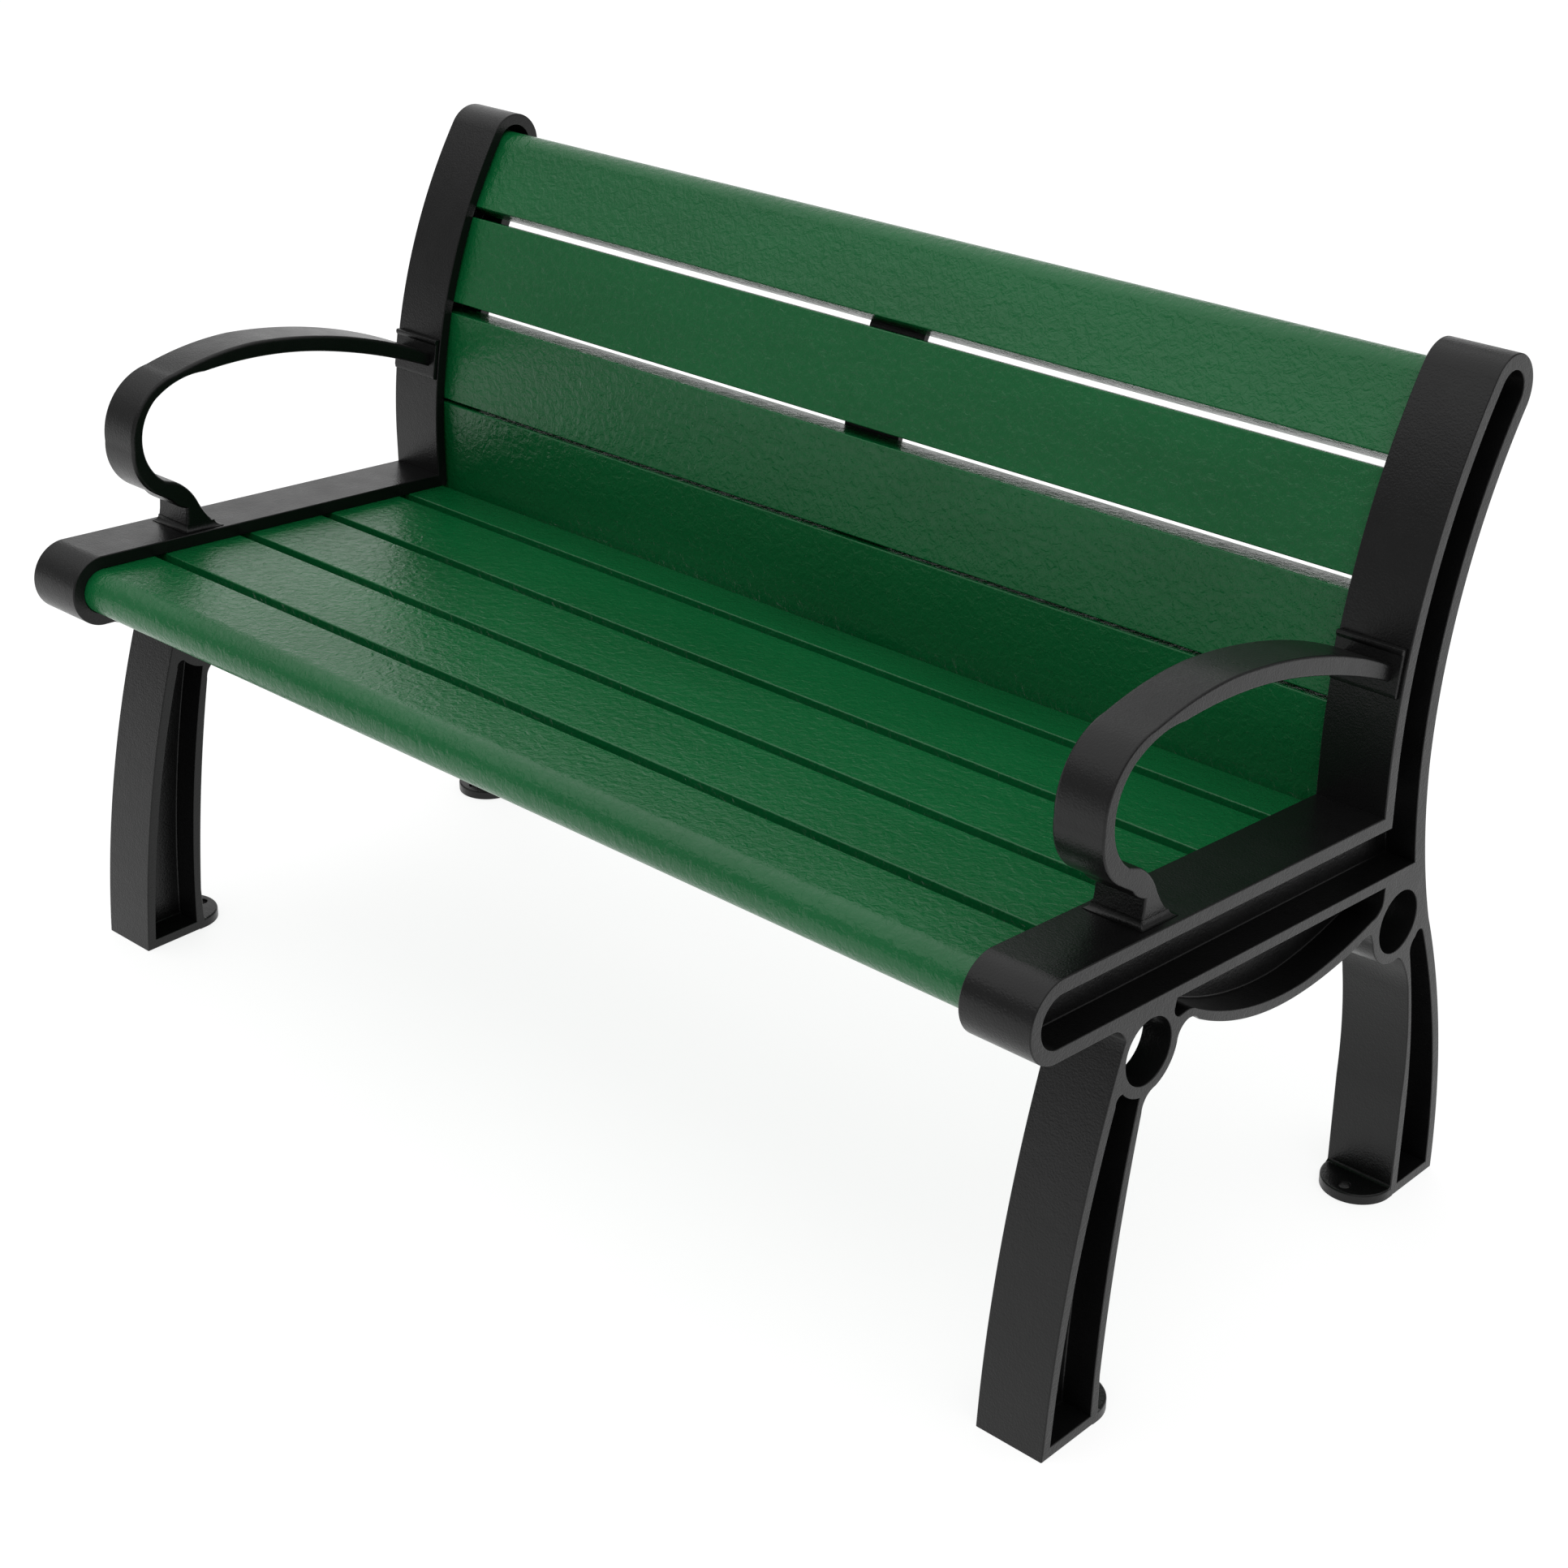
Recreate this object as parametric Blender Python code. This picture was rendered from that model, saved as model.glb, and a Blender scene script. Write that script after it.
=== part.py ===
"""A four-foot park bench: two cast end frames, two cast armrests, a slatted seat and back, and a centre strap.

All sizes below are millimetres. The bench stands on z = 0 with its width along X; its front faces -Y.
Side profiles are (y, z) pairs measured from the front lower corner of the front leg, and every object is
moved back by PROFILE_SHIFT so that the origin lies under the middle of the bench.
"""

import math

import bmesh
import bpy
from mathutils import Matrix, Vector

MM = 0.001
FIT = 0.3  # clearance between pieces that touch

# Overall sizes
BENCH_WIDTH = 1220.0
FRAME_THICKNESS = 66.0
WEB_THICKNESS = 9.0
PROFILE_SHIFT = 264.35

# Side profile of an end frame
SEAT_SLOPE = math.tan(math.radians(4.0))
NOSE_Y = -5.0
NOSE_RADIUS = 34.6
RAIL_TOP = 431.7  # height of the rail's top edge above the nose centre
RAIL_TOP_RIM = 12.7
RAIL_BOTTOM_RIM = 12.4
BELLY_TOP = 364.6  # height of the top edge of the recess under the rail, at the nose centre
POST_CENTRE = (965.0, 430.0)  # centre of the arcs that the back post follows
POST_FRONT_RADIUS = 552.6
POST_REAR_RADIUS = 490.2
INNER_POST_RIMS = (10.6, 12.3)  # front and rear rim, on the side that holds the slats
OUTER_POST_RIMS = (12.9, 14.5)
POST_SWEEP = 34.85  # degrees from the straight foot of the post to the centre of its rounded top
LEG_RIM = 10.0
FRONT_HUB = (105.5, 322.5)
REAR_HUB = (451.5, 292.5)
HUB_BORE = 28.0
HUB_RADIUS = 37.6
HUB_SLOT = (46.0, 32.0, 13.2)  # reach from the hub's centre, width, and size along X
HUB_SLOT_ANGLE = -37.0
PAD_RADIUS = 32.9
PAD_THICKNESS = 9.6
PAD_HOLE_OFFSET = 21.0
PAD_HOLE_RADIUS = 5.5
FRONT_PAD_Y = 70.0
REAR_PAD_Y = 488.0

# Slats
SEAT_THICKNESS = 43.4
SEAT_PITCH = 101.2
SEAT_STARTS = [68.3 + SEAT_PITCH * i for i in range(4)]  # front edges of the slats behind the first
SEAT_EDGES = [(-25.1, 55.8)] + [(start, start + 88.6) for start in SEAT_STARTS[:3]]
SEAT_EDGES += [(SEAT_STARTS[3], 418.4)]
BACK_THICKNESS = 36.0
BACK_GAP_ANGLES = (-5.5, 5.42, 15.7, 26.22)  # gap centres, degrees round POST_CENTRE, from the bottom
BACK_GAPS = (0.0, 4.0, 11.4, 11.2)
BACK_TRIMS = ((0, 2.0), (2.0, 0), (0, 0), (0, 0))  # how much narrower the rear face is at each end
TOP_SLAT_WIDTH = 86.5
SLAT_TUCK = 26.0  # how far a slat's end sits inside the frame's recess
SLAT_EDGE_RADIUS = 2.0

# Armrest
ARM_X = 576.0
ARM_WIDTH = 47.0
ARM_PAD_WIDTH = 62.0
ARM_PAD_HEIGHT = 42.0
ARM_PAD_DEPTH = 6.0
ARM_PAD_Z = 525.0  # height of its middle
ARM_FOOT_WIDTH = 55.5
ARM_FOOT_Y = (95.5, 141.5)
ARM_FOOT_HEIGHT = 3.0

# Centre strap and screws
STRAP_WIDTH = 66.0
STRAP_THICKNESS = 6.0
STRAP_FRONT_Y = 20.0
STRAP_BEND = 14.0
SCREW_RADIUS = 4.0
SCREW_HEAD_RADIUS = 7.5
SCREW_HEAD_HEIGHT = 5.5
SCREW_REACH = 22.0  # length of shank inside a slat
SEAT_SCREW_Y = (18.0, 148.0, 214.0, 315.0, 395.0)  # where the heads of the rail screws are
BACK_SCREW_SPOTS = (0.65, 0.5, 0.5, 0.5)  # how far up each slat, as parts of its width
BOLT_INSET = 13.5  # from the middle of an end frame towards its outer side
FRONT_BOLT_Y = 117.0
FRONT_BOLT_REACH = 14.0  # length of shank inside an armrest
REAR_BOLT_REACH = 5.0

# Finishes: base colour, roughness, metallic
BLACK_IRON = ((0.012, 0.012, 0.013), 0.4, 0.0)
GREEN_BOARD = ((0.011, 0.115, 0.03), 0.45, 0.0)
STEEL = ((0.2, 0.2, 0.2), 0.35, 1.0)

FRAME_X = (BENCH_WIDTH - FRAME_THICKNESS) / 2
RECESS_MIDDLE = (WEB_THICKNESS + FRAME_THICKNESS) / 4
SLAT_LENGTH = 2 * (FRAME_X - FRAME_THICKNESS / 2 + SLAT_TUCK)


def rail_line(height, y):
    """Height at y of a line that slopes back with the seat and passes the nose centre at height."""
    return height - SEAT_SLOPE * (y - NOSE_Y)


def polar(centre, radius, degrees):
    angle = math.radians(degrees)
    return (centre[0] + radius * math.cos(angle), centre[1] + radius * math.sin(angle))


def arc(centre, radius, start, end, steps):
    """Points from start to end degrees round centre, both ends included."""
    return [polar(centre, radius, start + (end - start) * i / steps) for i in range(steps + 1)]


def arc_through(first, middle, last, steps):
    """Points of the circular arc that runs from first through middle to last."""
    (ax, ay), (bx, by), (cx, cy) = first, middle, last
    d = 2 * (ax * (by - cy) + bx * (cy - ay) + cx * (ay - by))
    a2, b2, c2 = ax * ax + ay * ay, bx * bx + by * by, cx * cx + cy * cy
    centre = (
        (a2 * (by - cy) + b2 * (cy - ay) + c2 * (ay - by)) / d,
        (a2 * (cx - bx) + b2 * (ax - cx) + c2 * (bx - ax)) / d,
    )
    start = math.degrees(math.atan2(ay - centre[1], ax - centre[0]))
    end = math.degrees(math.atan2(cy - centre[1], cx - centre[0]))
    turn = 1 if (bx - ax) * (cy - ay) - (by - ay) * (cx - ax) > 0 else -1
    sweep = ((end - start) * turn) % 360 * turn
    return arc(centre, math.dist(centre, first), start, start + sweep, steps)


def join_runs(*runs):
    """One closed outline from runs of points, without repeated points."""
    outline = []
    for run in runs:
        for point in run:
            if not outline or math.dist(point, outline[-1]) > 0.2:
                outline.append(tuple(point))
    if math.dist(outline[0], outline[-1]) < 0.2:
        outline.pop()
    return outline


def frame_outline():
    """Outer edge of an end frame, anticlockwise seen from +X."""
    nose = (NOSE_Y, RAIL_TOP - NOSE_RADIUS)
    rail_bottom = RAIL_TOP - 2 * NOSE_RADIUS
    cap_radius = (POST_FRONT_RADIUS - POST_REAR_RADIUS) / 2
    cap = polar(POST_CENTRE, POST_REAR_RADIUS + cap_radius, 180 - POST_SWEEP)
    post_front = POST_CENTRE[0] - POST_FRONT_RADIUS
    post_rear = POST_CENTRE[0] - POST_REAR_RADIUS
    return join_runs(
        [(0, 0), (70, 0)],
        arc_through((70, 45), (85, 175), (102, 270), 6),
        arc_through((102, 270), (106, 281), polar(FRONT_HUB, HUB_RADIUS, -72), 3),
        arc(FRONT_HUB, HUB_RADIUS, -72, -12, 7),
        arc_through(polar(FRONT_HUB, HUB_RADIUS, -12), (147, 325), (155, 329), 4),
        arc_through((155, 329), (163, 327.5), (170, 322), 4),
        arc_through((170, 322), (230, 296), (310, 284.5), 14),
        arc_through((310, 284.5), (352, 287), (392, 294), 7),
        arc_through((392, 294), (401, 297), (409, 297.5), 3),
        arc_through((409, 297.5), (412, 292), polar(REAR_HUB, HUB_RADIUS, 190), 2),
        arc(REAR_HUB, HUB_RADIUS, 190, 280, 10),
        arc_through((462, 253), (475, 232), (482, 208), 4),
        arc_through((482, 208), (488, 170), (490, 100), 6),
        [(490, 0)],
        arc_through((557, 0), (546, 130), (502, 277), 14),
        arc_through((502, 277), (484, 344), (post_rear, 430), 8),
        arc(POST_CENTRE, POST_REAR_RADIUS, 180, 180 - POST_SWEEP, 12),
        arc(cap, cap_radius, -POST_SWEEP, 180 - POST_SWEEP, 12),
        arc(POST_CENTRE, POST_FRONT_RADIUS, 180 - POST_SWEEP, 180, 12),
        [(post_front, rail_line(RAIL_TOP, post_front))],
        arc(nose, NOSE_RADIUS, 90, 270, 14),
        arc_through((56, rail_line(rail_bottom, 56)), (69.5, 353.5), (75, 344), 4),
        arc_through((75, 344), (24.2, 172.5), (0, 0), 12),
    )


def rail_recess(post_rims):
    """The recess that runs along the seat rail and up the back post, between these rims of the post."""
    height = (2 * NOSE_RADIUS - RAIL_TOP_RIM - RAIL_BOTTOM_RIM) / 2
    top = RAIL_TOP - RAIL_TOP_RIM
    front = POST_FRONT_RADIUS - post_rims[0]
    rear = POST_REAR_RADIUS + post_rims[1]
    cap = polar(POST_CENTRE, (front + rear) / 2, 180 - POST_SWEEP)
    front_y, rear_y = POST_CENTRE[0] - front, POST_CENTRE[0] - rear
    return join_runs(
        arc((NOSE_Y, top - height), height, 90, 270, 12),
        arc_through((468, rail_line(top - 2 * height, 468)), (rear_y + 2, 388), (rear_y, 430), 6),
        arc(POST_CENTRE, rear, 180, 180 - POST_SWEEP, 12),
        arc(cap, (front - rear) / 2, -POST_SWEEP, 180 - POST_SWEEP, 10),
        arc(POST_CENTRE, front, 180 - POST_SWEEP, 180, 12),
        [(front_y, rail_line(top, front_y))],
    )


def belly_recess():
    """The recess under the rail, between the two hubs."""
    return join_runs(
        [(138, rail_line(BELLY_TOP, 138))],
        arc_through((136, 347), (137.5, 340), (143, 337), 3),
        arc_through((152, 338), (158, 337.3), (165, 334), 2),
        arc_through((165, 334), (230, 306), (315, 294), 11),
        arc_through((315, 294), (365, 299.5), (410, 310), 6),
        arc_through((410, 310), (418.5, 313), (424.5, 323), 3),
        [(425, rail_line(BELLY_TOP, 425))],
    )


def front_leg_recess():
    return join_runs(
        [(LEG_RIM, LEG_RIM)],
        arc_through((60.5, LEG_RIM), (72, 150), polar(FRONT_HUB, 38, -102), 9),
        arc(FRONT_HUB, 38, -102, -141, 4),
        arc_through(polar(FRONT_HUB, 38, -141), (71.5, 298), (68, 291), 3),
        arc_through((68, 291), (31.5, 158), (LEG_RIM, LEG_RIM), 9),
    )


def rear_leg_recess():
    return join_runs(
        [(500, LEG_RIM)],
        arc_through((547, LEG_RIM), (535, 134), (494.5, 266.5), 12),
        arc_through((494.5, 266.5), (489, 270.5), (483, 266), 2),
        arc_through((483, 266), (477.6, 260), (477, 252), 2),
        arc_through((477, 252), (493, 176), (500, 90), 9),
    )


def material(name, finish):
    colour, roughness, metallic = finish
    mat = bpy.data.materials.new(name)
    mat.use_nodes = True
    shader = mat.node_tree.nodes["Principled BSDF"]
    shader.inputs["Base Color"].default_value = (*colour, 1)
    shader.inputs["Roughness"].default_value = roughness
    shader.inputs["Metallic"].default_value = metallic
    mat.diffuse_color = (*colour, 1)
    return mat


def add_object(name, bm, finish, parent=None):
    """Turn a bmesh into an object. Curved sides are shaded smooth and real edges stay sharp."""
    bmesh.ops.recalc_face_normals(bm, faces=bm.faces)
    mesh = bpy.data.meshes.new(name)
    bm.to_mesh(mesh)
    bm.free()
    mesh.shade_smooth()
    mesh.set_sharp_from_angle(angle=math.radians(35))
    if finish:
        mesh.materials.append(material(f"{name}_finish", finish))
    obj = bpy.data.objects.new(name, mesh)
    bpy.context.scene.collection.objects.link(obj)
    obj.parent = parent
    return obj


def add_loop(bm, outline, x):
    """A closed loop of edges at x, and its vertices."""
    verts = [bm.verts.new((x * MM, y * MM, z * MM)) for y, z in outline]
    edges = [bm.edges.new((verts[i - 1], verts[i])) for i in range(len(verts))]
    return verts, edges


def add_wall(bm, outline, x0, x1):
    """The wall of faces between an outline at x0 and the same outline at x1, and its two loops of edges."""
    first, first_edges = add_loop(bm, outline, x0)
    second, second_edges = add_loop(bm, outline, x1)
    for i in range(len(outline)):
        bm.faces.new((first[i - 1], first[i], second[i], second[i - 1]))
    return first_edges, second_edges


def fill(bm, edges, side):
    bmesh.ops.triangle_fill(bm, use_beauty=True, edges=edges, normal=(side, 0, 0))


def extruded(outline, x0, x1):
    """A closed solid: an outline of (y, z) points extruded from x0 to x1."""
    bm = bmesh.new()
    low, high = add_wall(bm, outline, x0, x1)
    fill(bm, low, -1)
    fill(bm, high, 1)
    return bm


def lies_inside(point, outline):
    inside = False
    for (ay, az), (by, bz) in zip(outline, outline[1:] + outline[:1]):
        if (az > point[1]) != (bz > point[1]):
            inside ^= point[0] < ay + (by - ay) * (point[1] - az) / (bz - az)
    return inside


def remove_faces_over(bm, outlines, x):
    """Delete the faces at x whose centres lie inside one of the outlines."""
    found = []
    for face in bm.faces:
        centre = face.calc_center_median() / MM
        if abs(centre.x - x) < 0.01 and abs(face.normal.x) > 0.9:
            if any(lies_inside((centre.y, centre.z), outline) for outline in outlines):
                found.append(face)
    bmesh.ops.delete(bm, geom=found, context="FACES_ONLY")


def frame_casting(inner):
    """The I-section casting: rims at full thickness round the recesses, and a web half way through.

    The slats fit into the recess on the inner side, which is -1 or 1.
    """
    bm = bmesh.new()
    half = FRAME_THICKNESS / 2
    bores = [arc(hub, HUB_BORE, 0, 345, 23) for hub in (FRONT_HUB, REAR_HUB)]
    faces_at = {-1: [], 1: []}
    for outline in [frame_outline()] + bores:
        low, high = add_wall(bm, outline, -half, half)
        faces_at[-1] += low
        faces_at[1] += high
    for side, edges in faces_at.items():
        rims = INNER_POST_RIMS if side == inner else OUTER_POST_RIMS
        recesses = [rail_recess(rims), belly_recess(), front_leg_recess(), rear_leg_recess()]
        for outline in recesses:
            mouth, floor = add_wall(bm, outline, side * half, side * WEB_THICKNESS / 2)
            edges += mouth
            fill(bm, floor, side)
        fill(bm, edges, side)
        bm.normal_update()
        remove_faces_over(bm, recesses + bores, side * half)
    return bm


def cylinder(bm, radius, start, end, sides):
    """Add a closed cylinder from start to end, which are (x, y, z) in millimetres."""
    start, end = Vector(start) * MM, Vector(end) * MM
    along = end - start
    matrix = Matrix.Translation((start + end) / 2) @ along.to_track_quat("Z", "Y").to_matrix().to_4x4()
    bmesh.ops.create_cone(
        bm, cap_ends=True, segments=sides, radius1=radius * MM, radius2=radius * MM,
        depth=along.length, matrix=matrix,
    )


def add_cutter(name, bm, parent):
    obj = add_object(name, bm, None, parent)
    obj.hide_render = True
    obj.display_type = "WIRE"
    return obj


def boolean(obj, other, operation):
    modifier = obj.modifiers.new(operation.lower(), "BOOLEAN")
    modifier.operation = operation
    modifier.object = other
    modifier.solver = "EXACT"


def foot_pad(middle, direction):
    """Half-round anchor plate on the floor, standing out of a leg towards +Y or -Y."""
    turn = 0 if direction > 0 else 180
    half_disc = arc((0, middle), PAD_RADIUS, turn, turn + 180, 16)
    inset = middle - direction * 8
    outline = half_disc + [(half_disc[-1][0], inset), (half_disc[0][0], inset)]
    bm = bmesh.new()
    low = [bm.verts.new((x * MM, y * MM, 0)) for x, y in outline]
    high = [bm.verts.new((x * MM, y * MM, PAD_THICKNESS * MM)) for x, y in outline]
    bm.faces.new(low)
    bm.faces.new(high)
    for i in range(len(outline)):
        bm.faces.new((low[i - 1], low[i], high[i], high[i - 1]))
    return bm


class Fastener:
    """A hex-head screw. It enters at head, heads for tip, and passes through the pieces between them."""

    def __init__(self, name, head, direction, grip, reach):
        self.name = name
        self.head = Vector(head)
        self.direction = Vector(direction).normalized()
        self.length = grip + reach

    def along(self, distance):
        return self.head + self.direction * distance

    def solid(self):
        """A six-sided head with the shank growing out of it, as one closed mesh."""
        bm = bmesh.new()
        turn = self.direction.to_track_quat("Z", "Y").to_matrix()
        stations = (
            (SCREW_HEAD_RADIUS, -FIT - SCREW_HEAD_HEIGHT),
            (SCREW_HEAD_RADIUS, -FIT),
            (SCREW_RADIUS, -FIT),
            (SCREW_RADIUS, self.length - 3),
            (SCREW_RADIUS / 2, self.length),
        )
        rings = []
        for radius, distance in stations:
            ring = []
            for side in range(6):
                x, y = polar((0, 0), radius, 60 * side)
                point = self.along(0) + turn @ Vector((x, y, distance))
                ring.append(bm.verts.new(point * MM))
            rings.append(ring)
        bm.faces.new(rings[0])
        bm.faces.new(rings[-1])
        for first, second in zip(rings, rings[1:]):
            for i in range(6):
                bm.faces.new((first[i - 1], first[i], second[i], second[i - 1]))
        return bm

    def cut_hole(self, bm):
        cylinder(bm, SCREW_RADIUS + FIT, self.along(-1.5), self.along(self.length + 1), 12)


class Board:
    """A straight slat along X. Its cross-section stands on corner (y, z) and runs along its own width."""

    def __init__(self, name, corner, tilt, width, thickness, nose, trims=(0, 0)):
        self.name = name
        self.corner = Vector(corner)
        self.along = Vector((math.cos(tilt), math.sin(tilt)))
        self.inward = Vector((math.sin(tilt), -math.cos(tilt)))
        self.width = width
        self.thickness = thickness
        self.nose = nose
        self.trims = trims

    def point(self, along, depth):
        """The (y, z) of a point that far along the board's width and that deep under its face."""
        return tuple(self.corner + self.along * along + self.inward * depth)

    def section(self):
        """Cross-section with small rounded edges, and a half-round nose at the end named by nose."""
        radius, steps, outline = SLAT_EDGE_RADIUS, 2, []
        w, t = self.width, self.thickness
        corners = [(0, 0, 180), (0, t, 90), (w, t, 0), (w, 0, -90)]
        for along, depth, _ in corners:
            end = "start" if along == 0 else "end"
            r, n = (t / 2, 6) if end == self.nose else (radius, steps)
            first, last = (0, 0) if depth == 0 else self.trims
            centre = (first + r if along == 0 else w - last - r, r if depth == 0 else t - r)
            start = {(0, 0): 270, (0, t): 180, (w, t): 90, (w, 0): 0}[(along, depth)]
            outline += [polar(centre, r, start - 90 * i / n) for i in range(n + 1)]
        return join_runs([self.point(*p) for p in outline])


def seat_boards():
    boards = []
    tilt = -math.atan(SEAT_SLOPE)
    for number, (front, rear) in enumerate(SEAT_EDGES, 1):
        corner = (front, rail_line(RAIL_TOP - RAIL_TOP_RIM - FIT, front))
        width = (rear - front) / math.cos(tilt)
        nose = "start" if number == 1 else None
        boards.append(Board(f"seat_slat_{number}", corner, tilt, width, SEAT_THICKNESS, nose))
    return boards


def back_boards():
    """Slats of the back, from the lowest up. Each lies on a chord of the post's front recess arc."""
    radius = POST_FRONT_RADIUS - INNER_POST_RIMS[0] - FIT
    boards = []
    for number, angle in enumerate(BACK_GAP_ANGLES):
        start = angle + math.degrees(BACK_GAPS[number] / 2 / radius)
        if number < 3:
            end = BACK_GAP_ANGLES[number + 1] - math.degrees(BACK_GAPS[number + 1] / 2 / radius)
        else:
            end = start + 2 * math.degrees(math.asin(TOP_SLAT_WIDTH / 2 / radius))
        low = Vector(polar(POST_CENTRE, radius, 180 - start))
        high = Vector(polar(POST_CENTRE, radius, 180 - end))
        tilt = math.atan2(high.y - low.y, high.x - low.x)
        nose = "end" if number == 3 else None
        width = (high - low).length
        name = f"back_slat_{number + 1}"
        boards.append(Board(name, low, tilt, width, BACK_THICKNESS, nose, BACK_TRIMS[number]))
    return boards


def strap_outline(seat, back):
    """Bent flat bar that lies under the seat slats and behind the back slats."""

    def corner(first, second):
        """Where two straight lines, each a point and a direction, cross."""
        (p, d), (q, e) = first, second
        t = ((q.x - p.x) * e.y - (q.y - p.y) * e.x) / (d.x * e.y - d.y * e.x)
        return p + d * t

    faces = []
    under = SEAT_THICKNESS + FIT
    faces.append((Vector(seat[1].point(0, under)), seat[1].along))
    for board in back:
        faces.append((Vector(board.point(0, BACK_THICKNESS + FIT)), board.along))
    inner = [Vector((STRAP_FRONT_Y, rail_line(RAIL_TOP - RAIL_TOP_RIM - FIT - under, STRAP_FRONT_Y)))]
    inner += [corner(a, b) for a, b in zip(faces, faces[1:])]
    inner.append(Vector(back[-1].point(TOP_SLAT_WIDTH * 0.75, BACK_THICKNESS + FIT)))
    outer = []
    directions = [(b - a).normalized() for a, b in zip(inner, inner[1:])]
    for i, point in enumerate(inner):
        before = directions[max(i - 1, 0)]
        after = directions[min(i, len(directions) - 1)]
        normal = Vector((before.y + after.y, -before.x - after.x)).normalized()
        reach = STRAP_THICKNESS / normal.dot(Vector((before.y, -before.x)))
        outer.append(point + normal * reach)
    inner[1:2] = bent(inner[0], inner[1], inner[2], STRAP_BEND)
    outer[1:2] = bent(outer[0], outer[1], outer[2], STRAP_BEND + STRAP_THICKNESS)
    return [tuple(p) for p in inner] + [tuple(p) for p in reversed(outer)]


def bent(before, corner, after, radius):
    """The corner replaced by points of an arc of this radius."""
    a, b = (before - corner).normalized(), (after - corner).normalized()
    half = a.angle(b) / 2
    middle = corner + (a + b).normalized() * (radius / math.sin(half))
    first, last = corner + a * (radius / math.tan(half)), corner + b * (radius / math.tan(half))
    waist = middle + (corner - middle).normalized() * radius
    return [Vector(p) for p in arc_through(tuple(first), tuple(waist), tuple(last), 5)]


def armrest_outline():
    """The looped band of an armrest with its flared foot, without its rear pad and its foot plate."""
    base = RAIL_TOP + FIT + ARM_FOOT_HEIGHT / 2
    return join_runs(
        arc_through((420, 530.5), (320, 571), (200, 593.5), 12),
        arc_through((200, 593.5), (150, 592), (104, 584), 5),
        arc_through((104, 584), (61, 560), (48.5, 520), 8),
        arc_through((48.5, 520), (53, 491), (69, 472), 6),
        arc_through((87, 460), (94, 452.5), (103.5, 447.5), 3),
        [(102.5, 437.5), (101, 430.5), (100, rail_line(base, 100))],
        arc_through((137.5, rail_line(base, 137.5)), (127, 435), (117, 452.5), 5),
        arc_through((117, 452.5), (108, 466), (94, 477.5), 5),
        arc_through((82, 482), (61.5, 521), (80, 563), 12),
        arc_through((80, 563), (106, 575), (139, 577.5), 6),
        arc_through((139, 577.5), (215, 576), (290, 562.5), 8),
        arc_through((290, 562.5), (345, 546), (418, 516.5), 7),
    )


def arm_foot():
    """Foot plate of an armrest, on the top of the rail."""
    front, rear = ARM_FOOT_Y
    height = RAIL_TOP + FIT
    outline = [(front, rail_line(height, front)), (rear, rail_line(height, rear))]
    height += ARM_FOOT_HEIGHT
    slope = ARM_FOOT_HEIGHT
    outline += [(rear - slope, rail_line(height, rear - slope)), (front + slope, rail_line(height, front + slope))]
    return extruded(outline, -ARM_FOOT_WIDTH / 2, ARM_FOOT_WIDTH / 2)


def arm_pad_place():
    """Middle of the armrest's pad on the post, and the directions out of the post and up along it."""
    tilt = math.asin((ARM_PAD_Z - POST_CENTRE[1]) / POST_FRONT_RADIUS)
    base = Vector(polar(POST_CENTRE, POST_FRONT_RADIUS + FIT, 180 - math.degrees(tilt)))
    return base, Vector((-math.cos(tilt), math.sin(tilt))), Vector((math.sin(tilt), math.cos(tilt)))


def arm_pad():
    """Mounting pad of an armrest: a block lying on the front face of the back post."""
    base, outward, up = arm_pad_place()
    half = ARM_PAD_HEIGHT / 2
    slope = ARM_PAD_DEPTH / 2
    corners = [
        base - up * half, base + up * half,
        base + up * (half - slope) + outward * ARM_PAD_DEPTH,
        base - up * (half - slope) + outward * ARM_PAD_DEPTH,
    ]
    return extruded([tuple(c) for c in corners], -ARM_PAD_WIDTH / 2, ARM_PAD_WIDTH / 2)


def slat_screws(kind, boards, strap_depth, end_spots, end_depths):
    """Screws through both end frames and the strap into each board, with the pieces each passes through."""
    found = []
    for number, board in enumerate(boards, 1):
        direction = (0, *-board.inward)
        for side, x in (("left", -1), ("right", 1)):
            head = (x * (FRAME_X - RECESS_MIDDLE), *board.point(end_spots[number - 1], end_depths[number - 1]))
            grip = end_depths[number - 1] - board.thickness
            screw = Fastener(f"{kind}_screw_{number}_{side}", head, direction, grip, SCREW_REACH)
            found.append((screw, (f"end_frame_{side}", board.name)))
        spot = max(board.width / 2, STRAP_FRONT_Y + 15 - board.corner.x)
        head = (0, *board.point(spot, strap_depth))
        grip = strap_depth - board.thickness
        screw = Fastener(f"{kind}_screw_{number}_centre", head, direction, grip, SCREW_REACH)
        found.append((screw, ("centre_strap", board.name)))
    return found


def seat_screws(boards):
    """Screws from under the rail. The first enters its lower edge, the others the recess below it."""
    slope = math.cos(math.atan(SEAT_SLOPE))
    slat_top = RAIL_TOP - RAIL_TOP_RIM - FIT
    drops = [slat_top - (RAIL_TOP - 2 * NOSE_RADIUS)] + [slat_top - BELLY_TOP] * 4
    spots = [(y + SEAT_SLOPE * drop - board.corner.x) / slope
             for y, drop, board in zip(SEAT_SCREW_Y, drops, boards)]
    depths = [drop * slope for drop in drops]
    return slat_screws("seat", boards, SEAT_THICKNESS + FIT + STRAP_THICKNESS, spots, depths)


def back_screws(boards):
    """Screws from behind the post. Its rear face is hollow, so the heads stand a little off it."""
    rear = POST_REAR_RADIUS - FIT
    spots = [board.width * part for part, board in zip(BACK_SCREW_SPOTS, boards)]
    faces = [Vector(board.point(spot, 0)) for board, spot in zip(boards, spots)]
    depths = [(face - Vector(POST_CENTRE)).length - rear for face in faces]
    return slat_screws("back", boards, BACK_THICKNESS + FIT + STRAP_THICKNESS, spots, depths)


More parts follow.
